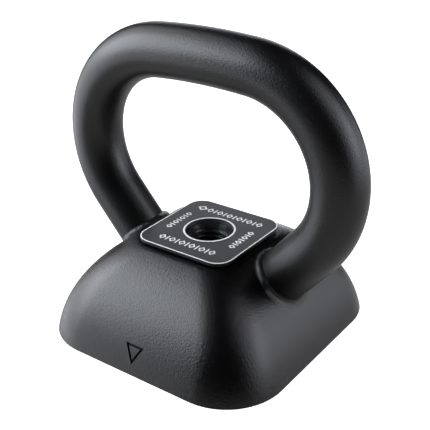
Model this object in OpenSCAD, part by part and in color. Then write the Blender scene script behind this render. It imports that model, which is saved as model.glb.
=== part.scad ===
// Kettlebell: a domed square cast base, a bent round handle welded into it,
// and a face plate with a threaded fitting for a locking screw.
// Millimetres. X runs along the grip, -Y is the marked front face and Z is up.
// The origin is the centre of the flat underside.

/* [Base casting] */
// Width of the square underside, flat to flat
base_w = 164.8; // [162:0.1:170]
// Height of the casting's flat top
base_h = 59.2; // [58:0.1:60.4]
// Radius of the arc that each side follows from the floor to the shoulder
side_r = 95.4; // [92:0.2:100]
// Slope of the sides at the floor, in degrees from the vertical
floor_slope = 13.9; // [12:0.1:15]
// Slope of the surface where the side arc ends and the crown begins, in degrees
shoulder_slope = 47.6; // [44:0.1:50]
// Radius of the crown's arc, above the shoulder
crown_r = 63; // [56:0.5:70]
// Radius of the last arc, which turns the crown level round the pad
brow_r = 8; // [4:0.5:12]
// Corner radius of the square plan at the floor
floor_corner_r = 38.4; // [30:0.2:42]
// Corner radius of the square plan at the casting's top
top_corner_r = 20; // [16:0.2:23]
// Chamfer round the underside
floor_chamfer = 0.4; // [0.2:0.1:1.5]

/* [Handle] */
// Diameter of the round bar
bar_d = 33.4; // [30:0.1:35]
// Length of the gently arched grip between the bends, straight across
grip_len = 66.2; // [58:0.1:70]
// Radius of the grip's arch, at the bar's axis
arch_r = 425; // [350:5:700]
// Height of the middle of the grip's axis above the floor
grip_h = 175.3; // [170:0.1:182]
// Radius of each bend, at the bar's axis
bend_r = 62.5; // [58:0.1:66]
// Angle that each half of the bar turns through, from the middle of the grip to the leg
bend_angle = 131; // [130:0.1:132.5]
// Depth of each socket that holds an end of the bar
socket_depth = 20; // [12:1:22]
// Distance that each weld bead reaches out from the bar
weld_reach = 3; // [2:0.1:3.4]
// Height that each weld bead climbs up the bar, on average
weld_rise = 3.4; // [2:0.1:4.2]

/* [Face plate and threaded fitting] */
// Width of the square face plate
plate_w = 68.3; // [64:0.1:69]
// Thickness of the face plate
plate_t = 2.2; // [1.6:0.1:3]
// Corner radius of the face plate
plate_corner_r = 10.6; // [8:0.1:12]
// Width of the bare bevel along the face plate's upper edge
plate_bevel_w = 0.8; // [0.4:0.1:1.2]
// Height of that bevel
plate_bevel_h = 0.1; // [0.05:0.05:0.5]
// Height of the pad under the face plate
pad_h = 1.2; // [0.8:0.1:2.5]
// Distance that the pad is set in from the plate's edge
pad_inset = 3.5; // [3:0.1:5]
// Outer radius of the collar in the plate's hole
collar_r = 16.8; // [16.4:0.1:17.4]
// Inner radius of the collar
collar_bore_r = 15.5; // [14.4:0.1:15.6]
// Radius of the threaded bore at the crests of its thread
thread_crest_r = 11; // [10:0.1:11.5]
// Pitch of the thread
thread_pitch = 3.175; // [2.5:0.025:3.5]
// Length of the threaded insert under its flange
insert_len = 36; // [30:1:44]

/* [Front mark] */
// Width of the triangular mark
mark_w = 13.6; // [8:0.2:15]
// Height of the triangular mark along the surface
mark_h = 12.4; // [8:0.2:14]
// Height of the middle of the mark above the floor
mark_z = 12.6; // [10:0.2:18]
// Width of the mark's engraved line
mark_line = 1.5; // [0.5:0.1:1.8]

/* [Hidden] */

coat_black = [0.12, 0.12, 0.13];
weld_black = [0.16, 0.16, 0.17];
plate_grey = [0.24, 0.24, 0.25];
bare_metal = [0.78, 0.78, 0.78];
insert_black = [0.10, 0.10, 0.11];

round_fn = 96;     // segments of a true round surface
corner_steps = 8;  // steps round each corner of a rounded square
bar_sides = 32;    // sides of the bar's round section
bend_steps = 19;   // steps along each bend of the bar
grip_steps = 3;    // steps along each half of the grip
weld_steps = 48;   // steps round each weld
bead_steps = 5;    // steps across a weld's bulging face
over = 1;          // how far a cut runs past the face that it opens
hair = 0.01;       // overlap that joins two cuts into one

// Side profile: an arc from the floor to the shoulder, the crown's arc, then a brow that ends level.
// Each arc's centre is given by its distances from the vertical axis and from the floor.
side_cx = base_w / 2 - side_r * cos(floor_slope);
side_cz = floor_chamfer - side_r * sin(floor_slope);
shoulder_x = side_cx + side_r * cos(shoulder_slope);
shoulder_z = side_cz + side_r * sin(shoulder_slope);
crown_cx = shoulder_x - crown_r * cos(shoulder_slope);
crown_cz = shoulder_z - crown_r * sin(shoulder_slope);
brow_slope = asin((base_h - brow_r - crown_cz) / (crown_r - brow_r));
brow_cx = crown_cx + (crown_r - brow_r) * cos(brow_slope);
brow_cz = base_h - brow_r;
side_steps = 7;
crown_steps = 4;
brow_steps = 2;

// Handle: each leg leans in by leg_tilt from the vertical and meets the side arc at its root.
bar_r = bar_d / 2;
leg_tilt = bend_angle - 90;
grip_turn = asin(grip_len / 2 / arch_r);   // slope of the grip's axis where a bend begins
bend_cx = grip_len / 2 - bend_r * sin(grip_turn);
bend_cz = grip_h - arch_r * (1 - cos(grip_turn)) - bend_r * cos(grip_turn);
leg_top_x = bend_cx + bend_r * cos(leg_tilt);
leg_top_z = bend_cz - bend_r * sin(leg_tilt);
to_arc = [leg_top_x - side_cx, leg_top_z - side_cz];
along_leg = to_arc * [sin(leg_tilt), cos(leg_tilt)];
leg_len = along_leg - sqrt(pow(along_leg, 2) - to_arc * to_arc + pow(side_r, 2));
root_x = leg_top_x - leg_len * sin(leg_tilt);
root_z = leg_top_z - leg_len * cos(leg_tilt);

// Weld seats: flat spot faces square to each leg, sunk below the domed surface.
// Distances u run outwards and down, square to the leg, and t runs up along it, from its root.
seat_r = bar_r + weld_reach;
across_leg = [cos(leg_tilt), -sin(leg_tilt)];
up_leg = [sin(leg_tilt), cos(leg_tilt)];
root = [root_x, root_z];
least_weld_wall = 0.65;                          // where the bead's outer wall is lowest
seat_depth = least_weld_wall - min(side_t(-seat_r), side_t(seat_r));
weld_lean = 0.2;    // share by which the bead is taller inside the handle and lower outside it
weld_bulge = 1.1;   // how far the bead swells inside the handle; outside it is flat

// Plate stack, from the casting's top upwards.
pad_top = base_h + pad_h;
plate_top = pad_top + plate_t;
collar_stand = 0.3;   // how far the collar stands above the plate
collar_edge = 0.35;   // chamfer on the collar's rim

// Threaded insert, hanging from a flange that is let into the pad.
flange_r = 20;
flange_t = 3;
insert_r = 16;
flange_bottom = pad_top - flange_t;
insert_bottom = flange_bottom - insert_len;
lead_in_r = 13.2;        // mouth of the insert's bore, above the thread
lead_in_depth = 4;
thread_depth = 1.7;      // from the crests to the roots
thread_crest_w = thread_pitch / 4;
thread_root_w = thread_pitch / 8;
thread_top = pad_top - lead_in_depth;
thread_turns = floor((thread_top - insert_bottom - thread_crest_w) / thread_pitch);
screw_hole_r = 13.5;     // clearance hole through the casting, under the insert
screw_hole_chamfer = 1.5;

// Front mark: a hollow triangle, point down, cut square to the sloping face.
mark_depth = 1.4;
mark_slope = asin((mark_z - side_cz) / side_r);
mark_face = side_cx + side_r * cos(mark_slope);
mark_side = sqrt(pow(mark_w / 2, 2) + pow(mark_h, 2));
mark_inradius = mark_w * mark_h / (mark_w + 2 * mark_side);

// Points of an arc about the centre [cx, cz], without its first one.
function arc_points(cx, cz, r, from, to, steps) = [
    for (i = [1 : steps])
        let (a = from + (to - from) * i / steps)
        [cx + r * cos(a), cz + r * sin(a)]];

// Profile points as [half width, height], from the floor up.
function side_profile() = concat(
    [[base_w / 2 - floor_chamfer, 0], [base_w / 2, floor_chamfer]],
    arc_points(side_cx, side_cz, side_r, floor_slope, shoulder_slope, side_steps),
    arc_points(crown_cx, crown_cz, crown_r, shoulder_slope, brow_slope, crown_steps),
    arc_points(brow_cx, brow_cz, brow_r, brow_slope, 90, brow_steps));

function plan_corner_r(z) = floor_corner_r + (top_corner_r - floor_corner_r) * z / base_h;

// A square with rounded corners at height z, as a closed ring of points.
function square_ring(half_w, corner_r, z) = [
    for (quarter = [0 : 3], i = [0 : corner_steps])
        let (a = 90 * (quarter + i / corner_steps),
             sx = (quarter == 0 || quarter == 3) ? 1 : -1,
             sy = (quarter < 2) ? 1 : -1)
        [sx * (half_w - corner_r) + corner_r * cos(a),
         sy * (half_w - corner_r) + corner_r * sin(a), z]];

// A closed solid through rings of points, each ring with the same number of them.
// It is capped at both ends, or joined back to its first ring when loop is true.
module loft(rings, loop = false) {
    count = len(rings[0]);
    total = len(rings);
    sides = [for (k = [0 : total - (loop ? 1 : 2)], i = [0 : count - 1])
        let (here = k * count, there = ((k + 1) % total) * count, next = (i + 1) % count)
        [here + i, there + i, there + next, here + next]];
    caps = [[for (i = [0 : count - 1]) i],
            [for (i = [count - 1 : -1 : 0]) (total - 1) * count + i]];
    polyhedron(points = [for (ring = rings, p = ring) p],
               faces = loop ? sides : concat(sides, caps));
}

// The dome, with its top level drawn in to the pad that carries the face plate.
module casting_blank() {
    pad_half_w = plate_w / 2 - pad_inset;
    loft(concat(
        [for (p = side_profile()) square_ring(p[0], plan_corner_r(p[1]), p[1])],
        [square_ring(pad_half_w, plate_corner_r, base_h),
         square_ring(pad_half_w, plate_corner_r, pad_top)]));
}

// Places its children at the root of a leg, with their Z axis along the leg.
module at_leg_root(side) {
    translate([side * root_x, 0, root_z])
        rotate([0, side * leg_tilt, 0])
            children();
}

module leg_pocket(side) {
    at_leg_root(side) {
        translate([0, 0, -socket_depth])
            cylinder(r = bar_r, h = socket_depth + over, $fn = round_fn);
        translate([0, 0, -seat_depth])
            cylinder(r = seat_r, h = 2 * seat_depth, $fn = round_fn);
    }
}

module insert_pocket() {
    translate([0, 0, flange_bottom])
        cylinder(r = flange_r, h = flange_t + over, $fn = round_fn);
    translate([0, 0, insert_bottom])
        cylinder(r = insert_r, h = insert_len + over, $fn = round_fn);
    translate([0, 0, -over])
        cylinder(r = screw_hole_r, h = insert_bottom + 2 * over, $fn = round_fn);
    translate([0, 0, -over])
        cylinder(r1 = screw_hole_r + screw_hole_chamfer + over, r2 = screw_hole_r,
                 h = screw_hole_chamfer + over, $fn = round_fn);
}

// Triangle of the mark, shrunk evenly about its incentre by the given inset.
module mark_triangle(inset) {
    centre_y = mark_h / 2 - mark_inradius;
    shrink = (mark_inradius - inset) / mark_inradius;
    corners = [[-mark_w / 2, mark_h / 2], [mark_w / 2, mark_h / 2], [0, -mark_h / 2]];
    polygon([for (c = corners) [c[0] * shrink, centre_y + (c[1] - centre_y) * shrink]]);
}

module front_mark() {
    translate([0, -mark_face, mark_z])
        rotate([90 - mark_slope, 0, 0])
            translate([0, 0, -mark_depth])
                linear_extrude(mark_depth + over)
                    difference() {
                        mark_triangle(0);
                        mark_triangle(mark_line);
                    }
}

module base_casting() {
    color(coat_black)
        difference() {
            casting_blank();
            leg_pocket(-1);
            leg_pocket(1);
            insert_pocket();
            front_mark();
        }
}

// A round section of the bar at [x, z], where a is the angle turned from the middle of the grip.
function bar_ring(x, z, a) = [
    for (i = [0 : bar_sides - 1])
        let (turn = 360 * i / bar_sides)
        [x + bar_r * cos(turn) * sin(a), -bar_r * sin(turn), z + bar_r * cos(turn) * cos(a)]];

function bend_ring(side, share) =
    let (a = side * (grip_turn + (bend_angle - grip_turn) * share))
    bar_ring(side * bend_cx + bend_r * sin(a), bend_cz + bend_r * cos(a), a);

function grip_ring(share) =
    let (a = grip_turn * share)
    bar_ring(arch_r * sin(a), grip_h - arch_r * (1 - cos(a)), a);

function leg_end_ring(side) = bar_ring(side * (root_x - socket_depth * sin(leg_tilt)),
                                       root_z - socket_depth * cos(leg_tilt),
                                       side * bend_angle);

module handle_bar() {
    color(coat_black)
        loft(concat(
            [leg_end_ring(-1)],
            [for (i = [bend_steps : -1 : 0]) bend_ring(-1, i / bend_steps)],
            [for (i = [1 - grip_steps : grip_steps - 1]) grip_ring(i / grip_steps)],
            [for (i = [0 : bend_steps]) bend_ring(1, i / bend_steps)],
            [leg_end_ring(1)]));
}

// Height t at which a line along the leg, at the distance u from its axis, meets the casting.
function side_t(u) = lookup(u, [for (p = side_profile()) [(p - root) * across_leg,
                                                          (p - root) * up_leg]]);

// Section of a weld at the angle a round the leg: bulging face, outer wall, flat foot.
function weld_section(a) =
    let (top = [bar_r, side_t(bar_r * cos(a)) + weld_rise * (1 - weld_lean * cos(a))],
         toe = [seat_r, side_t(seat_r * cos(a))],
         slope = toe - top,
         outward = [-slope[1], slope[0]] / norm(slope),
         bulge = weld_bulge * (1 - cos(a)) / 2,
         face = [for (i = [0 : bead_steps])
             let (s = i / bead_steps)
             top + s * slope + bulge * sin(180 * s) * outward])
    [for (p = concat(face, [[seat_r, -seat_depth], [bar_r, -seat_depth]]))
        [p[0] * cos(a), p[0] * sin(a), p[1]]];

module handle_weld() {
    color(weld_black)
        at_leg_root(1)
            loft([for (i = [0 : weld_steps - 1]) weld_section(360 * i / weld_steps)],
                 loop = true);
}

module handle_weld_left() {
    mirror([1, 0, 0])
        handle_weld();
}

module handle_weld_right() {
    handle_weld();
}

module face_plate() {
    half_w = plate_w / 2;
    color(plate_grey)
        difference() {
            loft([square_ring(half_w, plate_corner_r, pad_top),
                  square_ring(half_w, plate_corner_r, plate_top - plate_bevel_h),
                  square_ring(half_w - plate_bevel_w, plate_corner_r - plate_bevel_w,
                              plate_top)]);
            translate([0, 0, pad_top - over])
                cylinder(r = collar_r, h = plate_t + 2 * over, $fn = round_fn);
        }
}

module bore_collar() {
    rim = plate_top + collar_stand;
    color(bare_metal)
        rotate_extrude($fn = round_fn)
            polygon([[collar_bore_r, pad_top], [collar_r, pad_top],
                     [collar_r, rim - collar_edge], [collar_r - collar_edge, rim],
                     [collar_bore_r + collar_edge, rim], [collar_bore_r, rim - collar_edge]]);
}

// One turn of the thread, cut as a ring with sloping flanks below the height z.
module thread_groove(z) {
    mouth_w = thread_pitch - thread_crest_w;
    flank = (mouth_w - thread_root_w) / 2;
    rotate_extrude($fn = round_fn)
        polygon([[thread_crest_r - over, z], [thread_crest_r, z],
                 [thread_crest_r + thread_depth, z - flank],
                 [thread_crest_r + thread_depth, z - flank - thread_root_w],
                 [thread_crest_r, z - mouth_w], [thread_crest_r - over, z - mouth_w]]);
}

module threaded_insert() {
    color(insert_black)
        difference() {
            union() {
                translate([0, 0, flange_bottom])
                    cylinder(r = flange_r, h = flange_t, $fn = round_fn);
                translate([0, 0, insert_bottom])
                    cylinder(r = insert_r, h = insert_len, $fn = round_fn);
            }
            translate([0, 0, insert_bottom - over])
                cylinder(r = thread_crest_r, h = insert_len + flange_t + 2 * over,
                         $fn = round_fn);
            translate([0, 0, thread_top])
                cylinder(r1 = thread_crest_r + thread_depth, r2 = lead_in_r,
                         h = lead_in_depth, $fn = round_fn);
            translate([0, 0, pad_top - hair])
                cylinder(r = lead_in_r, h = over, $fn = round_fn);
            for (turn = [0 : thread_turns - 1])
                thread_groove(thread_top - thread_crest_w - turn * thread_pitch);
        }
}

base_casting();
handle_bar();
handle_weld_left();
handle_weld_right();
face_plate();
bore_collar();
threaded_insert();
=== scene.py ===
"""Looks of the kettlebell: a domed cast base, a welded bar handle and a face plate with a threaded fitting.

Lengths are in metres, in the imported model's frame: +X along the grip, -Y the marked face, +Z up.
"""

import math
import random

import bmesh
import bpy
from mathutils import Matrix, Vector, noise


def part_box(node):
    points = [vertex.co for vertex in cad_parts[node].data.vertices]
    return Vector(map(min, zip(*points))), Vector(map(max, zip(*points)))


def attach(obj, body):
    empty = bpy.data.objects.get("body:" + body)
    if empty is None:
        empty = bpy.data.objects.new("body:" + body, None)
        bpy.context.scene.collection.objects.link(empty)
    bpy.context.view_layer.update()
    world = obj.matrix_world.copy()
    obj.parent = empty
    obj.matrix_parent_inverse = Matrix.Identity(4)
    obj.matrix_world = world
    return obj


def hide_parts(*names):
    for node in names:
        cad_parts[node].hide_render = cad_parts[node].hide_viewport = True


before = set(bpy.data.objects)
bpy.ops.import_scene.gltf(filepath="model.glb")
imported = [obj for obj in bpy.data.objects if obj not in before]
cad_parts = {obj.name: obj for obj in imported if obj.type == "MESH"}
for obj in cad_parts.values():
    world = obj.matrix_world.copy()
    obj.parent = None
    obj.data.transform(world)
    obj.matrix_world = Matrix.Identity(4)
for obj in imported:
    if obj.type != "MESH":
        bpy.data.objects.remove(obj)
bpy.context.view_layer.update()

MM = 0.001
SHARP_ANGLE = 35           # degrees, above which an edge between smooth faces stays sharp
PLATE_SHARP_ANGLE = 4

# ---------------------------------------------------------------- dimensions
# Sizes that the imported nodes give.
casting_lo, casting_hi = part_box("base_casting")
bar_lo, bar_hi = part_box("handle_bar")
plate_lo, plate_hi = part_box("face_plate")
collar_lo, collar_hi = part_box("bore_collar")
insert_lo, insert_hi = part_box("threaded_insert")

# Base casting: the side profile is an arc, then the crown's arc, then a brow that ends level.
BASE_HALF = casting_hi.x
PAD_TOP = casting_hi.z
PAD_HEIGHT = 1.2 * MM
PAD_INSET = 3.5 * MM
BASE_HEIGHT = PAD_TOP - PAD_HEIGHT
SIDE_R = 95.4 * MM
FLOOR_SLOPE = math.radians(13.9)
SHOULDER_SLOPE = math.radians(47.6)
CROWN_R = 63 * MM
BROW_R = 8 * MM
FLOOR_CORNER_R = 38.4 * MM
TOP_CORNER_R = 20 * MM
FLOOR_EDGE = 0.4 * MM
FLOOR_EDGE_IN = 0.05 * MM

# Bar: a gently arched grip, two bends and two straight legs that lean inwards.
BAR_R = bar_hi.y
ARCH_R = 425 * MM
BEND_R = 62.5 * MM
BEND_ANGLE = math.radians(131)
GRIP_HALF = (bar_hi.x - BEND_R - BAR_R) / (1 - BEND_R / ARCH_R)
GRIP_TURN = math.asin(GRIP_HALF / ARCH_R)
GRIP_Z = bar_hi.z - BAR_R
SOCKET_DEPTH = 20 * MM
LEG_TILT = BEND_ANGLE - math.pi / 2

# Face plate, collar and insert.
PLATE_HALF = plate_hi.x
PLATE_CORNER_R = 10.6 * MM
PLATE_BEVEL_W = 0.8 * MM
PLATE_BEVEL_H = 0.1 * MM
COLLAR_R = collar_hi.x
COLLAR_BORE_R = 15.5 * MM
FLANGE_R = insert_hi.x
FLANGE_BOTTOM = insert_hi.z - 3 * MM
INSERT_R = 16 * MM
THREAD_CREST_R = 11 * MM
THREAD_DEPTH = 1.7 * MM
THREAD_PITCH = 3.175 * MM
THREAD_CREST = 0.22        # width of the crest as a share of the pitch
THREAD_ROOT = 0.14         # width of the root as a share of the pitch
THREAD_EASE = 0.25         # how far the flanks are rounded, from 0 to 1
LEAD_IN_R = 13.2 * MM
LEAD_IN_DEPTH = 4 * MM
LEAD_IN_FOOT = 0.35        # share of the cone's taper that is reached at the top of the full thread
SCREW_HOLE_R = 13.5 * MM
SCREW_HOLE_CHAMFER = 1.5 * MM

# Front mark: a hollow triangle, point down.
MARK_W = 13.6 * MM
MARK_H = 12.4 * MM
MARK_Z = 12.6 * MM
MARK_LINE = 1.5 * MM
MARK_DEPTH = 1.4 * MM
CUT_OVER = 1 * MM          # how far a cutter stands out of the face that it cuts

# Values worked out from the ones above.
SIDE_CX = BASE_HALF - SIDE_R * math.cos(FLOOR_SLOPE)
SIDE_CZ = FLOOR_EDGE - SIDE_R * math.sin(FLOOR_SLOPE)
SHOULDER = (SIDE_CX + SIDE_R * math.cos(SHOULDER_SLOPE), SIDE_CZ + SIDE_R * math.sin(SHOULDER_SLOPE))
CROWN_CX = SHOULDER[0] - CROWN_R * math.cos(SHOULDER_SLOPE)
CROWN_CZ = SHOULDER[1] - CROWN_R * math.sin(SHOULDER_SLOPE)
BROW_CZ = BASE_HEIGHT - BROW_R
BROW_SLOPE = math.asin((BROW_CZ - CROWN_CZ) / (CROWN_R - BROW_R))
BROW_CX = CROWN_CX + (CROWN_R - BROW_R) * math.cos(BROW_SLOPE)
BEND_CX = GRIP_HALF - BEND_R * math.sin(GRIP_TURN)
BEND_CZ = GRIP_Z - ARCH_R * (1 - math.cos(GRIP_TURN)) - BEND_R * math.cos(GRIP_TURN)
ACROSS_LEG = (math.cos(LEG_TILT), -math.sin(LEG_TILT))
UP_LEG = (math.sin(LEG_TILT), math.cos(LEG_TILT))
LEG_TOP = (BEND_CX + BEND_R * math.cos(LEG_TILT), BEND_CZ - BEND_R * math.sin(LEG_TILT))


def dot(a, b):
    """Dot product of two pairs in the side view."""
    return a[0] * b[0] + a[1] * b[1]


def leg_length():
    """Length of a straight leg, from the end of the bend to the side arc of the casting."""
    gap = (LEG_TOP[0] - SIDE_CX, LEG_TOP[1] - SIDE_CZ)
    along = dot(gap, UP_LEG)
    return along - math.sqrt(along ** 2 - dot(gap, gap) + SIDE_R ** 2)


LEG_LEN = leg_length()
ROOT = (LEG_TOP[0] - LEG_LEN * UP_LEG[0], LEG_TOP[1] - LEG_LEN * UP_LEG[1])


# ---------------------------------------------------------------- mesh helpers
def make_piece(name, verts, faces, sharp_angle=SHARP_ANGLE):
    """A closed mesh with outward normals, smooth apart from edges sharper than sharp_angle degrees."""
    mesh = bpy.data.meshes.new(name)
    mesh.from_pydata(verts, [], faces)
    bm = bmesh.new()
    bm.from_mesh(mesh)
    bmesh.ops.recalc_face_normals(bm, faces=bm.faces)
    bm.to_mesh(mesh)
    bm.free()
    mesh.polygons.foreach_set("use_smooth", [True] * len(mesh.polygons))
    mesh.set_sharp_from_angle(angle=math.radians(sharp_angle))
    piece = bpy.data.objects.new(name, mesh)
    bpy.context.scene.collection.objects.link(piece)
    return piece


def loft(rings, loop=False):
    """Vertices and faces through rings of points, capped at both ends unless the rings form a loop."""
    count = len(rings[0])
    total = len(rings)
    verts = [tuple(p) for ring in rings for p in ring]
    faces = []
    for k in range(total if loop else total - 1):
        here = k * count
        there = (k + 1) % total * count
        for i in range(count):
            following = (i + 1) % count
            faces.append((here + i, there + i, there + following, here + following))
    if not loop:
        faces.append(tuple(range(count)))
        faces.append(tuple(range(total * count - 1, (total - 1) * count - 1, -1)))
    return verts, faces


def blend_rings(a, b, share):
    """The ring that lies the given share of the way from ring a to ring b."""
    return [tuple(p + (q - p) * share for p, q in zip(u, v)) for u, v in zip(a, b)]


def square_ring(half, corner_r, z, corner_steps=16, side_steps=10):
    """A rounded square at height z, with evenly spaced points along its straight sides."""
    ring = []
    straight = half - corner_r
    for quarter in range(4):
        turn = quarter * math.pi / 2
        c, s = math.cos(turn), math.sin(turn)
        local = []
        for i in range(corner_steps + 1):
            a = math.pi / 2 * i / corner_steps
            local.append((straight + corner_r * math.cos(a), straight + corner_r * math.sin(a)))
        for i in range(1, side_steps):
            local.append((straight - 2 * straight * i / side_steps, half))
        ring += [(x * c - y * s, x * s + y * c, z) for x, y in local]
    return ring


def circle_ring(radius, z, like):
    """A circle at height z whose points lie in the same directions as those of the ring it joins."""
    ring = []
    for x, y, _ in like:
        reach = math.hypot(x, y)
        ring.append((radius * x / reach, radius * y / reach, z))
    return ring


def set_faces_material(piece, slot_index, chosen):
    """Gives a material slot to every face that chosen(centre, normal) picks."""
    for face in piece.data.polygons:
        if chosen(face.center, face.normal):
            face.material_index = slot_index


def cut(piece, cutter, transfer=False):
    """Cuts a closed mesh out of a piece and removes the cutter."""
    modifier = piece.modifiers.new("cut", "BOOLEAN")
    modifier.operation = "DIFFERENCE"
    modifier.solver = "EXACT"
    modifier.object = cutter
    modifier.material_mode = "TRANSFER" if transfer else "INDEX"
    bpy.context.view_layer.objects.active = piece
    bpy.context.view_layer.update()
    evaluated = piece.evaluated_get(bpy.context.evaluated_depsgraph_get())
    mesh = bpy.data.meshes.new_from_object(evaluated)
    piece.modifiers.clear()
    old = piece.data
    piece.data = mesh
    bpy.data.meshes.remove(old)
    bpy.data.objects.remove(cutter)
    return piece


# ---------------------------------------------------------------- base casting
def plan_corner_r(z):
    """Corner radius of the casting's rounded square at height z."""
    return FLOOR_CORNER_R + (TOP_CORNER_R - FLOOR_CORNER_R) * z / BASE_HEIGHT


def arc_points(cx, cz, radius, start, end, steps):
    """Points of an arc in the side view, without its last one."""
    turns = [start + (end - start) * i / steps for i in range(steps)]
    return [(cx + radius * math.cos(a), cz + radius * math.sin(a)) for a in turns]


def side_profile():
    """Half widths and heights up the side: rounded floor edge, side arc, crown, brow."""
    level = math.pi / 2
    edge_cx = BASE_HALF - FLOOR_EDGE - FLOOR_EDGE_IN
    return (arc_points(edge_cx, FLOOR_EDGE, FLOOR_EDGE, -level, FLOOR_SLOPE, 5)
            + arc_points(SIDE_CX, SIDE_CZ, SIDE_R, FLOOR_SLOPE, SHOULDER_SLOPE, 40)
            + arc_points(CROWN_CX, CROWN_CZ, CROWN_R, SHOULDER_SLOPE, BROW_SLOPE, 22)
            + arc_points(BROW_CX, BROW_CZ, BROW_R, BROW_SLOPE, level, 8)
            + [(BROW_CX, BASE_HEIGHT)])


def mark_outline(half_w, height, inset):
    """Outline of the front mark, shrunk evenly about its incentre by inset."""
    side = math.hypot(half_w, height)
    inradius = half_w * height / (half_w + side)
    centre_y = height / 2 - inradius
    shrink = (inradius - inset) / inradius
    corners = [(-half_w, height / 2), (0, -height / 2), (half_w, height / 2)]
    return [(x * shrink, centre_y + (y - centre_y) * shrink) for x, y in corners]


def front_mark_cutter():
    """The triangle's line as a closed tube, square to the casting's front face."""
    slope = math.asin((MARK_Z - SIDE_CZ) / SIDE_R)
    face_y = -(SIDE_CX + SIDE_R * math.cos(slope))
    place = Matrix.Translation((0, face_y, MARK_Z)) @ Matrix.Rotation(math.pi / 2 - slope, 4, "X")
    outer = mark_outline(MARK_W / 2, MARK_H, 0)
    inner = mark_outline(MARK_W / 2, MARK_H, MARK_LINE)
    rings = []
    for outline, z in ((outer, -MARK_DEPTH), (outer, CUT_OVER), (inner, CUT_OVER), (inner, -MARK_DEPTH)):
        rings.append([tuple(place @ Vector((x, y, z))) for x, y in outline])
    return make_piece("front_mark_cutter", *loft(rings, loop=True))


def make_base_casting():
    """The domed base with its pad, the insert's pocket and the screw hole down to the underside."""
    least_flat = 1 * MM
    outline = [square_ring(half, min(plan_corner_r(z), half - least_flat), z) for half, z in side_profile()]
    pad_half = PLATE_HALF - PAD_INSET
    foot = 0.3 * MM
    pad = [square_ring(pad_half + foot, PLATE_CORNER_R + foot, BASE_HEIGHT),
           square_ring(pad_half + foot * 0.3, PLATE_CORNER_R + foot * 0.3, BASE_HEIGHT + foot * 0.3),
           square_ring(pad_half, PLATE_CORNER_R, BASE_HEIGHT + foot),
           square_ring(pad_half, PLATE_CORNER_R, PAD_TOP)]
    guide = pad[-1]
    insert_bottom = insert_lo.z
    inside = [circle_ring(FLANGE_R, PAD_TOP, guide), circle_ring(FLANGE_R, FLANGE_BOTTOM, guide),
              circle_ring(INSERT_R, FLANGE_BOTTOM, guide), circle_ring(INSERT_R, insert_bottom, guide),
              circle_ring(SCREW_HOLE_R, insert_bottom, guide),
              circle_ring(SCREW_HOLE_R, SCREW_HOLE_CHAMFER, guide),
              circle_ring(SCREW_HOLE_R + SCREW_HOLE_CHAMFER, 0, guide)]
    underside = [blend_rings(inside[-1], outline[0], i / 8) for i in range(1, 8)]
    return make_piece("base_casting_skin", *loft(outline + pad + inside + underside, loop=True))


# ---------------------------------------------------------------- handle bar
def bar_ring(x, z, a, sides=80):
    """A ring of the bar round the point at x and z, turned by the angle a about the Y axis."""
    ring = []
    for i in range(sides):
        turn = 2 * math.pi * i / sides
        out = BAR_R * math.cos(turn)
        ring.append((x + out * math.sin(a), -BAR_R * math.sin(turn), z + out * math.cos(a)))
    return ring


def leg_rings(side):
    """Rings up a leg, from its end inside the socket to the start of the bend."""
    rings = []
    low = -SOCKET_DEPTH
    steps = 14
    for i in range(steps):
        t = low + (LEG_LEN - low) * i / steps
        rings.append(bar_ring(side * (ROOT[0] + t * UP_LEG[0]), ROOT[1] + t * UP_LEG[1],
                              side * BEND_ANGLE))
    return rings


def bend_rings(side, steps=84):
    """Rings round a bend, from the leg to the grip."""
    rings = []
    for i in range(steps + 1):
        a = side * (BEND_ANGLE + (GRIP_TURN - BEND_ANGLE) * i / steps)
        rings.append(bar_ring(side * BEND_CX + BEND_R * math.sin(a), BEND_CZ + BEND_R * math.cos(a), a))
    return rings


def grip_ring(share):
    """A ring of the arched grip, where share runs from -1 at its left end to 1 at its right end."""
    a = GRIP_TURN * share
    return bar_ring(ARCH_R * math.sin(a), GRIP_Z - ARCH_R * (1 - math.cos(a)), a)


def make_handle_bar():
    """One bar: the left leg and bend, the grip, and the right bend and leg."""
    grip = [grip_ring(i / 10) for i in range(-9, 10)]
    left = leg_rings(-1) + bend_rings(-1)
    right = leg_rings(1) + bend_rings(1)
    return make_piece("handle_bar_skin", *loft(left + grip + right[::-1]))


# ---------------------------------------------------------------- welds
SIDE_IN_LEG = sorted((dot((x - ROOT[0], z - ROOT[1]), ACROSS_LEG), dot((x - ROOT[0], z - ROOT[1]), UP_LEG))
                     for x, z in side_profile() if z > 10 * MM)


def side_t(u):
    """Height along the leg, from its root, at which a line at the distance u from its axis meets the side."""
    for (u0, t0), (u1, t1) in zip(SIDE_IN_LEG, SIDE_IN_LEG[1:]):
        if u <= u1:
            break
    return t0 + (t1 - t0) * (u - u0) / (u1 - u0)


WELD_REACH = 3.0 * MM      # how far the bead reaches out from the bar
WELD_REACH_VARIES = 0.12   # share by which that reach wanders
WELD_RISE = 3.4 * MM       # how far it climbs the bar, on average
WELD_RISE_VARIES = 0.15    # share by which that rise wanders
WELD_LEAN = 0.2            # share by which it is taller inside the handle and lower outside it
WELD_BULGE = 1.0 * MM      # how far it swells inside the handle
WELD_BULGE_LEAST = 0.75    # share of that swell which is left outside the handle
WELD_RIPPLE = 0.10 * MM    # half the height of its ripples
WELD_RIPPLES = 23          # number of ripples round the leg
WELD_SOFT = 1.55           # how much further it reaches where it is a hollow fillet
WELD_SOFT_RISE = 0.85      # how high it climbs there, as a share of its rise
WELD_SOFT_HOLLOW = 1.3     # how hollow it is there, where 1 is a round cove
BEAD_FROM = 0.30           # share of the way to the inside at which the fillet starts to be a bead
BEAD_FULL = 0.68           # share of the way to the inside at which it is a full bead
WELD_SUNK = 2.5 * MM       # how far its foot goes below the domed surface
WELD_HAIR = 0.04 * MM      # how far its thin edges are let into the surfaces that they meet
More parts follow.
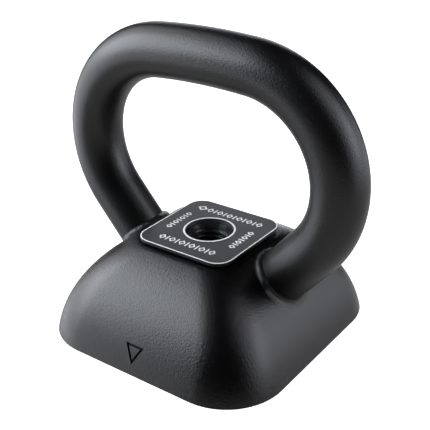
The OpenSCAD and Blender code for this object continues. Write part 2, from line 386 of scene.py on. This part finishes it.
WELD_ROOT = 0.3 * MM       # how far its hidden faces lie inside the bar and under its edges
PIT_COUNT = 30
PIT_R = (0.25 * MM, 0.5 * MM)
PIT_PLACE = (0.25, 0.9)    # where the pits lie, as shares of the way across the bead
PIT_DEPTH = 0.75           # depth of a pit as a share of its radius
PIT_FADE = 3               # number of radii beyond which a pit is not felt


def smooth_step(value, start, end):
    """Goes smoothly from 0 at start to 1 at end."""
    share = max(0.0, min(1.0, (value - start) / (end - start)))
    return share * share * (3 - 2 * share)


def bead_face(a, seed, steps=28):
    """Radii and heights across the weld at the angle a round the leg, from the bar out to the casting.

    Inside the handle it is a round bead. Outside it is a soft hollow fillet.
    """
    inner = (1 - math.cos(a)) / 2
    around = Vector((math.cos(a), math.sin(a), seed))
    uneven = noise.noise(around * 2.3)
    rise = WELD_RISE * (1 - WELD_LEAN * math.cos(a)) * (1 + WELD_RISE_VARIES * uneven)
    reach = WELD_REACH * (1 + WELD_REACH_VARIES * noise.noise(around * 3))
    roundness = smooth_step(inner, BEAD_FROM, BEAD_FULL)
    top = (BAR_R, side_t(BAR_R * math.cos(a)) + rise)
    toe = (BAR_R + reach, side_t((BAR_R + reach) * math.cos(a)))
    chord = (toe[0] - top[0], toe[1] - top[1])
    length = math.hypot(*chord)
    bulge = WELD_BULGE * (WELD_BULGE_LEAST + (1 - WELD_BULGE_LEAST) * inner)
    bulge += WELD_RIPPLE * math.sin(WELD_RIPPLES * a + 4 * uneven)
    soft_reach = WELD_SOFT * reach
    face = []
    for i in range(steps + 1):
        s = i / steps
        swell = bulge * math.sin(math.pi * s)
        bead_r = top[0] + chord[0] * s - chord[1] / length * swell
        bead_t = top[1] + chord[1] * s + chord[0] / length * swell
        turn = math.pi / 2 * s
        fillet_r = BAR_R + soft_reach * (1 - math.cos(turn))
        cove = (1 - math.sin(turn)) ** WELD_SOFT_HOLLOW
        fillet_t = side_t(fillet_r * math.cos(a)) + WELD_SOFT_RISE * rise * cove
        face.append((fillet_r + (bead_r - fillet_r) * roundness, fillet_t + (bead_t - fillet_t) * roundness))
    face[0] = (BAR_R - WELD_HAIR, face[0][1])
    face[-1] = (face[-1][0], side_t(face[-1][0] * math.cos(a)) - WELD_HAIR)
    return face


def make_weld(name, side, seed):
    """The weld round one root: a bead inside the handle and a hollow fillet outside it, rippled and pitted.

    Each pit has its angle round the leg, its place across the bead and its radius.
    """
    sections = 360
    draw = random.Random(seed)
    pits = [(draw.uniform(0, 2 * math.pi), draw.uniform(*PIT_PLACE), draw.uniform(*PIT_R))
            for _ in range(PIT_COUNT)]
    rings = []
    for k in range(sections):
        a = 2 * math.pi * k / sections
        ring = []
        face = bead_face(a, seed)
        for i, (rho, t) in enumerate(face):
            for pit_a, pit_s, size in pits:
                apart = math.hypot(((a - pit_a + math.pi) % (2 * math.pi) - math.pi) * rho,
                                   (i / (len(face) - 1) - pit_s) * 2 * WELD_REACH)
                if apart < PIT_FADE * size:
                    t -= PIT_DEPTH * size * math.exp(-(apart / size) ** 2)
            ring.append((rho, t))
        foot = side_t(ring[-1][0] * math.cos(a)) - WELD_SUNK
        sunk_r = BAR_R - WELD_ROOT
        ring += [(ring[-1][0] - WELD_ROOT, foot), (sunk_r, foot), (sunk_r, ring[0][1] - WELD_ROOT)]
        placed = []
        for rho, t in ring:
            across = rho * math.cos(a)
            placed.append((side * (ROOT[0] + across * ACROSS_LEG[0] + t * UP_LEG[0]),
                           rho * math.sin(a),
                           ROOT[1] + across * ACROSS_LEG[1] + t * UP_LEG[1]))
        rings.append(placed)
    return make_piece(name, *loft(rings, loop=True), sharp_angle=60)


# ---------------------------------------------------------------- face plate
PLATE_TOP = plate_hi.z
ETCH_DEPTH = 0.06 * MM
STROKE = 0.95 * MM         # line width of a hollow diamond
BAR_STROKE = 1.1 * STROKE  # width of an upright bar
EMBLEM_STROKE = 1.4 * STROKE
EMBLEM_GAP = 0.6 * MM
LONG_ROW_PITCH = 3.9 * MM
SHORT_ROW_PITCH = 3.6 * MM


def prism(outline):
    """Rings of a closed prism over an outline, through the plate's upper face."""
    return [[(x, y, z) for x, y in outline] for z in (PLATE_TOP - ETCH_DEPTH, PLATE_TOP + CUT_OVER)]


def bar_mark(x, y, w, h):
    """A short upright bar centred on x and y."""
    return [(prism([(x - w / 2, y - h / 2), (x + w / 2, y - h / 2),
                    (x + w / 2, y + h / 2), (x - w / 2, y + h / 2)]), False)]


def diamond_mark(x, y, w, h, stroke=STROKE):
    """A hollow diamond, as a tube of even thickness between two diamonds."""
    lean = math.hypot(w, h)
    outlines = []
    for inset in (0, stroke):
        half_w = w / 2 - inset * lean / h
        half_h = h / 2 - inset * lean / w
        outlines.append([(x - half_w, y), (x, y - half_h), (x + half_w, y), (x, y + half_h)])
    outer, inner = prism(outlines[0]), prism(outlines[1])
    return [(outer + inner[::-1], True)]


def mark_row(start, end, offset, height, turn, pitch, emblem=False):
    """A border of hollow diamonds and upright bars between start and end, turned about the plate's centre.

    The emblem is a larger diamond at its start.
    """
    marks = []
    if emblem:
        side = 1.5 * height
        marks += diamond_mark(start + side / 2, offset, side, 1.3 * height, EMBLEM_STROKE)
        start += side + EMBLEM_GAP
    count = max(1, round((end - start) / pitch))
    pitch = (end - start) / count
    for i in range(count):
        x = start + (i + 0.5) * pitch
        if i % 2:
            marks += bar_mark(x, offset, BAR_STROKE, height)
        else:
            marks += diamond_mark(x, offset, 1.3 * pitch, 1.1 * height)
    c, s = math.cos(turn), math.sin(turn)
    return [([[(px * c - py * s, px * s + py * c, z) for px, py, z in ring] for ring in rings], loop)
            for rings, loop in marks]


def etching_cutter():
    """All the marks that are etched into the plate, as one mesh of closed prisms."""
    back = mark_row(start=-26.0 * MM, end=24.6 * MM, offset=22.8 * MM, height=5.2 * MM,
                    turn=0, pitch=LONG_ROW_PITCH, emblem=True)
    front = mark_row(start=-21.0 * MM, end=21.0 * MM, offset=23.4 * MM, height=5.4 * MM,
                     turn=math.pi, pitch=LONG_ROW_PITCH)
    left = mark_row(start=-11.8 * MM, end=12.2 * MM, offset=24.6 * MM, height=4.4 * MM,
                    turn=math.pi / 2, pitch=SHORT_ROW_PITCH)
    right = mark_row(start=-12.0 * MM, end=12.0 * MM, offset=24.6 * MM, height=4.6 * MM,
                     turn=-math.pi / 2, pitch=SHORT_ROW_PITCH)
    verts, faces = [], []
    for rings, loop in back + front + left + right:
        v, f = loft(rings, loop)
        faces += [tuple(i + len(verts) for i in face) for face in f]
        verts += v
    return make_piece("etching_cutter", verts, faces)


def make_face_plate():
    """The plate with its softened lower edge, its pale bevel and the hole for the collar."""
    low = plate_lo.z
    edge = 0.12 * MM
    shoulder = PLATE_TOP - PLATE_BEVEL_H
    outside = [square_ring(PLATE_HALF - edge, PLATE_CORNER_R - edge, low),
               square_ring(PLATE_HALF, PLATE_CORNER_R, low + edge),
               square_ring(PLATE_HALF, PLATE_CORNER_R, shoulder),
               square_ring(PLATE_HALF - PLATE_BEVEL_W, PLATE_CORNER_R - PLATE_BEVEL_W, PLATE_TOP)]
    hole_top = circle_ring(COLLAR_R, PLATE_TOP, outside[-1])
    top = [blend_rings(outside[-1], hole_top, i / 4) for i in range(1, 4)]
    hole = [hole_top, circle_ring(COLLAR_R, low, outside[-1])]
    return make_piece("face_plate_skin", *loft(outside + top + hole, loop=True),
                      sharp_angle=PLATE_SHARP_ANGLE)


# ---------------------------------------------------------------- collar and insert
def revolve(profile, steps):
    """Rings of a turned shape: profile is a closed outline of radii and heights."""
    rings = []
    for k in range(steps):
        a = 2 * math.pi * k / steps
        rings.append([(r * math.cos(a), r * math.sin(a), z) for r, z in profile])
    return rings


def make_collar():
    """A thin ring in the plate's hole, with a flat top and softened rims."""
    top, low = collar_hi.z, collar_lo.z
    rim_r = 0.15 * MM
    profile = [(COLLAR_R, low)]
    rim_steps = 4
    for i in range(rim_steps + 1):
        a = math.pi / 2 * i / rim_steps
        profile.append((COLLAR_R - rim_r + rim_r * math.cos(a), top - rim_r + rim_r * math.sin(a)))
    for i in range(rim_steps + 1):
        a = math.pi / 2 * (1 + i / rim_steps)
        profile.append((COLLAR_BORE_R + rim_r + rim_r * math.cos(a), top - rim_r + rim_r * math.sin(a)))
    profile.append((COLLAR_BORE_R, low))
    return make_piece("bore_collar_skin", *loft(revolve(profile, steps=160), loop=True))


def thread_radius(phase):
    """Radius of the internal thread's surface, where phase runs from 0 to 1 along one pitch."""
    flank = (1 - THREAD_CREST - THREAD_ROOT) / 2
    if phase < THREAD_CREST:
        depth = 0
    elif phase < THREAD_CREST + flank:
        depth = (phase - THREAD_CREST) / flank
    elif phase < THREAD_CREST + flank + THREAD_ROOT:
        depth = 1
    else:
        depth = (1 - phase) / flank
    eased = depth * depth * (3 - 2 * depth)
    return THREAD_CREST_R + THREAD_DEPTH * ((1 - THREAD_EASE) * depth + THREAD_EASE * eased)


def make_insert():
    """A flanged bush with a true helical thread that runs out into the lead-in cone."""
    top, low = insert_hi.z, insert_lo.z
    levels_per_pitch = 16
    levels = int((top - low) / THREAD_PITCH * levels_per_pitch)
    steps = 128
    rings = []
    for k in range(steps):
        a = 2 * math.pi * k / steps
        ring = [(FLANGE_R, top), (FLANGE_R, FLANGE_BOTTOM), (INSERT_R, FLANGE_BOTTOM), (INSERT_R, low)]
        for i in range(levels + 1):
            z = low + (top - low) * i / levels
            radius = thread_radius((z / THREAD_PITCH - a / (2 * math.pi)) % 1)
            lead = (z - (top - LEAD_IN_DEPTH)) / LEAD_IN_DEPTH
            taper = max(0, min(1, LEAD_IN_FOOT + (1 - LEAD_IN_FOOT) * lead))
            ring.append((max(radius, THREAD_CREST_R + (LEAD_IN_R - THREAD_CREST_R) * taper), z))
        rings.append([(r * math.cos(a), r * math.sin(a), z) for r, z in ring])
    return make_piece("threaded_insert_skin", *loft(rings, loop=True), sharp_angle=50)


# ---------------------------------------------------------------- materials
def new_material(name):
    """An empty node material, with its tree and its shader."""
    material = bpy.data.materials.new(name)
    material.use_nodes = True
    tree = material.node_tree
    shader = tree.nodes["Principled BSDF"]
    return material, tree, shader


def noise_node(tree, scale, detail=2.0, rough=0.5):
    """A noise texture in object space, with its scale in features per metre."""
    place = tree.nodes.get("Texture Coordinate") or tree.nodes.new("ShaderNodeTexCoord")
    made = tree.nodes.new("ShaderNodeTexNoise")
    made.inputs["Scale"].default_value = scale
    made.inputs["Detail"].default_value = detail
    made.inputs["Roughness"].default_value = rough
    tree.links.new(place.outputs["Object"], made.inputs["Vector"])
    return made


def ramp(tree, source, low, high):
    """Maps a 0 to 1 value to the range from low to high."""
    made = tree.nodes.new("ShaderNodeMapRange")
    made.inputs["To Min"].default_value = low
    made.inputs["To Max"].default_value = high
    tree.links.new(source, made.inputs["Value"])
    return made.outputs["Result"]


def colour_ramp(tree, source, low, high, start=0.3, end=0.7):
    """Maps a 0 to 1 value to colours, from low at start to high at end."""
    made = tree.nodes.new("ShaderNodeValToRGB")
    made.color_ramp.elements[0].position = start
    made.color_ramp.elements[0].color = (*low, 1)
    made.color_ramp.elements[1].position = end
    made.color_ramp.elements[1].color = (*high, 1)
    tree.links.new(source, made.inputs["Fac"])
    return made.outputs["Color"]


def add_bump(tree, height, distance, under=None):
    """A bump of the given full height in metres, laid over the normal of an earlier one if there is one."""
    made = tree.nodes.new("ShaderNodeBump")
    made.inputs["Distance"].default_value = distance
    tree.links.new(height, made.inputs["Height"])
    if under is not None:
        tree.links.new(under, made.inputs["Normal"])
    return made.outputs["Normal"]


def coated_material(name, peel_depth, wave_depth, roughness, peel_scale=950):
    """Semi-gloss black coating: fine orange peel over a slow unevenness."""
    material, tree, shader = new_material(name)
    peel = noise_node(tree, peel_scale, detail=2.5, rough=0.6)
    wave = noise_node(tree, 130, detail=1.0)
    mottle = noise_node(tree, 45, detail=4.0)
    colour = colour_ramp(tree, mottle.outputs["Fac"], (0.0010, 0.0010, 0.0012), (0.0020, 0.0020, 0.0023))
    tree.links.new(colour, shader.inputs["Base Color"])
    tree.links.new(ramp(tree, mottle.outputs["Fac"], roughness - 0.03, roughness + 0.04),
                   shader.inputs["Roughness"])
    slow = add_bump(tree, wave.outputs["Fac"], wave_depth)
    fine = add_bump(tree, peel.outputs["Fac"], peel_depth, under=slow)
    tree.links.new(fine, shader.inputs["Normal"])
    shader.inputs["Specular IOR Level"].default_value = 0.5
    return material


def anodised_material():
    """Dark grey anodised metal with a fine blasted grain."""
    material, tree, shader = new_material("plate_anodised")
    grain = noise_node(tree, 1500, detail=3.0, rough=0.7)
    cloud = noise_node(tree, 60, detail=3.0)
    colour = colour_ramp(tree, cloud.outputs["Fac"], (0.046, 0.046, 0.046), (0.058, 0.058, 0.058))
    tree.links.new(colour, shader.inputs["Base Color"])
    tree.links.new(ramp(tree, grain.outputs["Fac"], 0.30, 0.44), shader.inputs["Roughness"])
    tree.links.new(add_bump(tree, grain.outputs["Fac"], 0.05 * MM), shader.inputs["Normal"])
    shader.inputs["Metallic"].default_value = 0.3
    return material


def black_edge_and_groove_shade_material(name, specular, roughness):
    """Plain black finish of cut edges and bores. In the engraved lines the same matt black is painted shade,
    standing in for the shade deep inside the groove.
    """
    material, tree, shader = new_material(name)
    grain = noise_node(tree, 1200, detail=2.0)
    colour = colour_ramp(tree, grain.outputs["Fac"], (0.003, 0.003, 0.003), (0.007, 0.007, 0.007))
    tree.links.new(colour, shader.inputs["Base Color"])
    tree.links.new(ramp(tree, grain.outputs["Fac"], roughness - 0.08, roughness + 0.08),
                   shader.inputs["Roughness"])
    tree.links.new(add_bump(tree, grain.outputs["Fac"], 0.02 * MM), shader.inputs["Normal"])
    shader.inputs["Specular IOR Level"].default_value = specular
    return material


def etched_material():
    """Pale, matt metal where the dark finish is etched or turned away."""
    material, tree, shader = new_material("metal_etched")
    marks = noise_node(tree, 1800, detail=3.0)
    cloud = noise_node(tree, 90, detail=3.0)
    colour = colour_ramp(tree, cloud.outputs["Fac"], (0.90, 0.90, 0.89), (0.98, 0.98, 0.97))
    tree.links.new(colour, shader.inputs["Base Color"])
    tree.links.new(ramp(tree, marks.outputs["Fac"], 0.50, 0.65), shader.inputs["Roughness"])
    tree.links.new(add_bump(tree, marks.outputs["Fac"], 0.01 * MM), shader.inputs["Normal"])
    return material


def blackened_material():
    """Blackened steel of the threaded insert."""
    material, tree, shader = new_material("insert_blackened")
    cloud = noise_node(tree, 220, detail=4.0)
    fine = noise_node(tree, 1500, detail=2.0)
    colour = colour_ramp(tree, cloud.outputs["Fac"], (0.011, 0.011, 0.012), (0.022, 0.022, 0.023))
    tree.links.new(colour, shader.inputs["Base Color"])
    tree.links.new(ramp(tree, fine.outputs["Fac"], 0.20, 0.30), shader.inputs["Roughness"])
    tree.links.new(add_bump(tree, fine.outputs["Fac"], 0.02 * MM), shader.inputs["Normal"])
    return material


# ---------------------------------------------------------------- assembly
def install(piece, node):
    """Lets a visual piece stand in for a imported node."""
    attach(piece, "root")
    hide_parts(node)


def is_plate_bevel(centre, normal):
    """True for the narrow sloping faces between the plate's side and its flat top."""
    return 0.9 < normal.z < 0.9999 and centre.z > PLATE_TOP - PLATE_BEVEL_H


def is_upright(_, normal):
    """True for the plate's sides, its hole and its underside."""
    return normal.z < 0.5


def is_bore(_, normal):
    """True for the collar's upright faces."""
    return abs(normal.z) < 0.5


casting_coat = coated_material("casting_coat", 0.25 * MM, 0.03 * MM, 0.24, peel_scale=1000)
handle_coat = coated_material("handle_coat", 0.15 * MM, 0.03 * MM, 0.33)
weld_coat = coated_material("weld_coat", 0.20 * MM, 0.10 * MM, 0.42)
anodised = anodised_material()
# Matt black for the front mark's groove: painted shade that darkens the inside of the groove.
groove_painted_shade = black_edge_and_groove_shade_material("groove_painted_shade", 0.2, 0.65)
plate_side = black_edge_and_groove_shade_material("plate_side", 0.32, 0.45)
etched = etched_material()
blackened = blackened_material()

base = make_base_casting()
base.data.materials.append(casting_coat)
mark = front_mark_cutter()
# Painted shade: the groove faces take the matt black that stands in for the shade inside the groove.
mark.data.materials.append(groove_painted_shade)
cut(base, mark, transfer=True)
base.data.set_sharp_from_angle(angle=math.radians(SHARP_ANGLE))
install(base, "base_casting")

bar = make_handle_bar()
bar.data.materials.append(handle_coat)
install(bar, "handle_bar")

weld_left = make_weld("handle_weld_left_skin", -1, 3)
weld_left.data.materials.append(weld_coat)
install(weld_left, "handle_weld_left")

weld_right = make_weld("handle_weld_right_skin", 1, 8)
weld_right.data.materials.append(weld_coat)
install(weld_right, "handle_weld_right")

plate = make_face_plate()
plate.data.materials.append(anodised)
plate.data.materials.append(etched)
plate.data.materials.append(plate_side)
set_faces_material(plate, 1, is_plate_bevel)
set_faces_material(plate, 2, is_upright)
etching = etching_cutter()
etching.data.materials.append(etched)
cut(plate, etching, transfer=True)
plate.data.set_sharp_from_angle(angle=math.radians(PLATE_SHARP_ANGLE))
install(plate, "face_plate")

collar = make_collar()
collar.data.materials.append(etched)
collar.data.materials.append(anodised)
set_faces_material(collar, 1, is_bore)
install(collar, "bore_collar")

insert = make_insert()
insert.data.materials.append(blackened)
install(insert, "threaded_insert")


# ---------------------------------------------------------------- studio
CAMERA_AZIMUTH = 36.58
CAMERA_ELEVATION = 26.55
CAMERA_ROLL = -1.15
CAMERA_DISTANCE = 0.5176
CAMERA_AIM = (0.0094, -0.0065, 0.0783)
CAMERA_LENS = 70.5
STUDIO_CENTRE = (0, 0, 0.09)
STUDIO_DISTANCE = 1.5
COOL = (0.965, 0.98, 1.05)
COOLER = (0.92, 0.985, 1.05)
AMBIENT_ABOVE = 0.012
AMBIENT_BELOW = 0.6
AMBIENT_STARTS = -0.06     # Z of the direction from which the surroundings begin to brighten
AMBIENT_FULL = -0.3        # Z of the direction from which they are at their brightest
FLOOR_GLOW = 1.0
FLOOR_INNER_R = 0.5
FLOOR_FLAT_R = 5.0
FLOOR_SWEEP_R = 3.0
WALL_TOP = 12.0


def make_floor():
    """A large pale floor that sweeps up into a wall. It shows to the camera only, so the blacks stay deep."""
    sides = 96
    sweep_steps = 12
    profile = [(FLOOR_INNER_R, 0), (FLOOR_FLAT_R, 0)]
    for i in range(1, sweep_steps + 1):
        a = math.pi / 2 * i / sweep_steps
        profile.append((FLOOR_FLAT_R + FLOOR_SWEEP_R * math.sin(a), FLOOR_SWEEP_R * (1 - math.cos(a))))
    profile.append((FLOOR_FLAT_R + FLOOR_SWEEP_R, WALL_TOP))
    verts, faces = [], []
    for radius, z in profile:
        for k in range(sides):
            a = 2 * math.pi * k / sides
            verts.append((radius * math.cos(a), radius * math.sin(a), z))
    for row in range(len(profile) - 1):
        for k in range(sides):
            here, beside = row * sides + k, row * sides + (k + 1) % sides
            faces.append((here, beside, beside + sides, here + sides))
    faces.append(tuple(range(sides)))
    mesh = bpy.data.meshes.new("studio_floor")
    mesh.from_pydata(verts, [], faces)
    floor = bpy.data.objects.new("studio_floor", mesh)
    bpy.context.scene.collection.objects.link(floor)
    floor.visible_diffuse = False
    floor.visible_glossy = False
    floor.visible_shadow = False
    material, tree, shader = new_material("floor_paper")
    grain = noise_node(tree, 30, detail=3.0)
    colour = colour_ramp(tree, grain.outputs["Fac"], (0.62, 0.62, 0.62), (0.66, 0.66, 0.66))
    tree.links.new(colour, shader.inputs["Base Color"])
    shader.inputs["Roughness"].default_value = 0.9
    shader.inputs["Specular IOR Level"].default_value = 0
    shader.inputs["Emission Color"].default_value = (1, 1, 1, 1)
    shader.inputs["Emission Strength"].default_value = FLOOR_GLOW
    mesh.materials.append(material)


def aim(azimuth, elevation, roll):
    """The direction from the object towards a lamp or the camera, and its turn, for angles in degrees."""
    azimuth, elevation = math.radians(azimuth), math.radians(elevation)
    towards = Vector((math.sin(azimuth) * math.cos(elevation), -math.cos(azimuth) * math.cos(elevation),
                      math.sin(elevation)))
    level = Vector((math.cos(azimuth), math.sin(azimuth), 0))
    turn = Matrix.Rotation(math.radians(roll), 3, "Z")
    return towards, Matrix((level, towards.cross(level), towards)).transposed() @ turn


def add_softbox(name, azimuth, elevation, half_w, half_h, roll, radiance, colour):
    """A softbox seen from the object in the given direction, with half sizes per metre of distance."""
    towards, rotation = aim(azimuth, elevation, roll)
    light = bpy.data.lights.new(name, "AREA")
    light.shape = "RECTANGLE"
    light.size = 2 * half_w * STUDIO_DISTANCE
    light.size_y = 2 * half_h * STUDIO_DISTANCE
    light.energy = radiance * math.pi * light.size * light.size_y
    light.color = colour
    lamp = bpy.data.objects.new(name, light)
    place = Vector(STUDIO_CENTRE) + STUDIO_DISTANCE * towards
    lamp.matrix_world = Matrix.Translation(place) @ rotation.to_4x4()
    bpy.context.scene.collection.objects.link(lamp)


def set_world():
    """Dim surroundings that brighten below the horizon, as if from a pale table."""
    world = bpy.data.worlds.new("studio_world")
    world.use_nodes = True
    tree = world.node_tree
    place = tree.nodes.new("ShaderNodeTexCoord")
    split = tree.nodes.new("ShaderNodeSeparateXYZ")
    tree.links.new(place.outputs["Generated"], split.inputs["Vector"])
    below = tree.nodes.new("ShaderNodeMapRange")
    below.inputs["From Min"].default_value = AMBIENT_STARTS
    below.inputs["From Max"].default_value = AMBIENT_FULL
    below.inputs["To Min"].default_value = AMBIENT_ABOVE
    below.inputs["To Max"].default_value = AMBIENT_BELOW
    tree.links.new(split.outputs["Z"], below.inputs["Value"])
    tree.links.new(below.outputs["Result"], tree.nodes["Background"].inputs["Strength"])
    tree.nodes["Background"].inputs["Color"].default_value = (0.98, 0.98, 1.0, 1)
    bpy.context.scene.world = world


def make_camera():
    """The camera, looking down at the aim point from the front right."""
    back, rotation = aim(CAMERA_AZIMUTH, CAMERA_ELEVATION, CAMERA_ROLL)
    camera = bpy.data.objects.new("camera", bpy.data.cameras.new("camera"))
    camera.matrix_world = Matrix.Translation(Vector(CAMERA_AIM) + CAMERA_DISTANCE * back) @ rotation.to_4x4()
    camera.data.sensor_width = 36
    camera.data.lens = CAMERA_LENS
    camera.data.clip_start = 0.01
    bpy.context.scene.collection.objects.link(camera)
    bpy.context.scene.camera = camera


make_floor()
make_camera()
set_world()
add_softbox("left_wide", -68, 19, 0.80, 0.97, 0, 2.0, COOL)
add_softbox("left_core", -60, 26, 0.42, 0.37, -20, 5.0, COOLER)
add_softbox("right_wide", 108, 27, 0.44, 0.73, -4, 1.5, COOL)
add_softbox("right_core", 118, 20, 0.22, 0.28, -17, 2.4, COOL)
add_softbox("rim_left", -147, 3, 0.27, 0.31, 0, 1.80, COOL)
add_softbox("rim_right", 146, 3, 0.34, 0.26, 0, 1.25, COOL)
bpy.context.scene.view_settings.view_transform = "Standard"
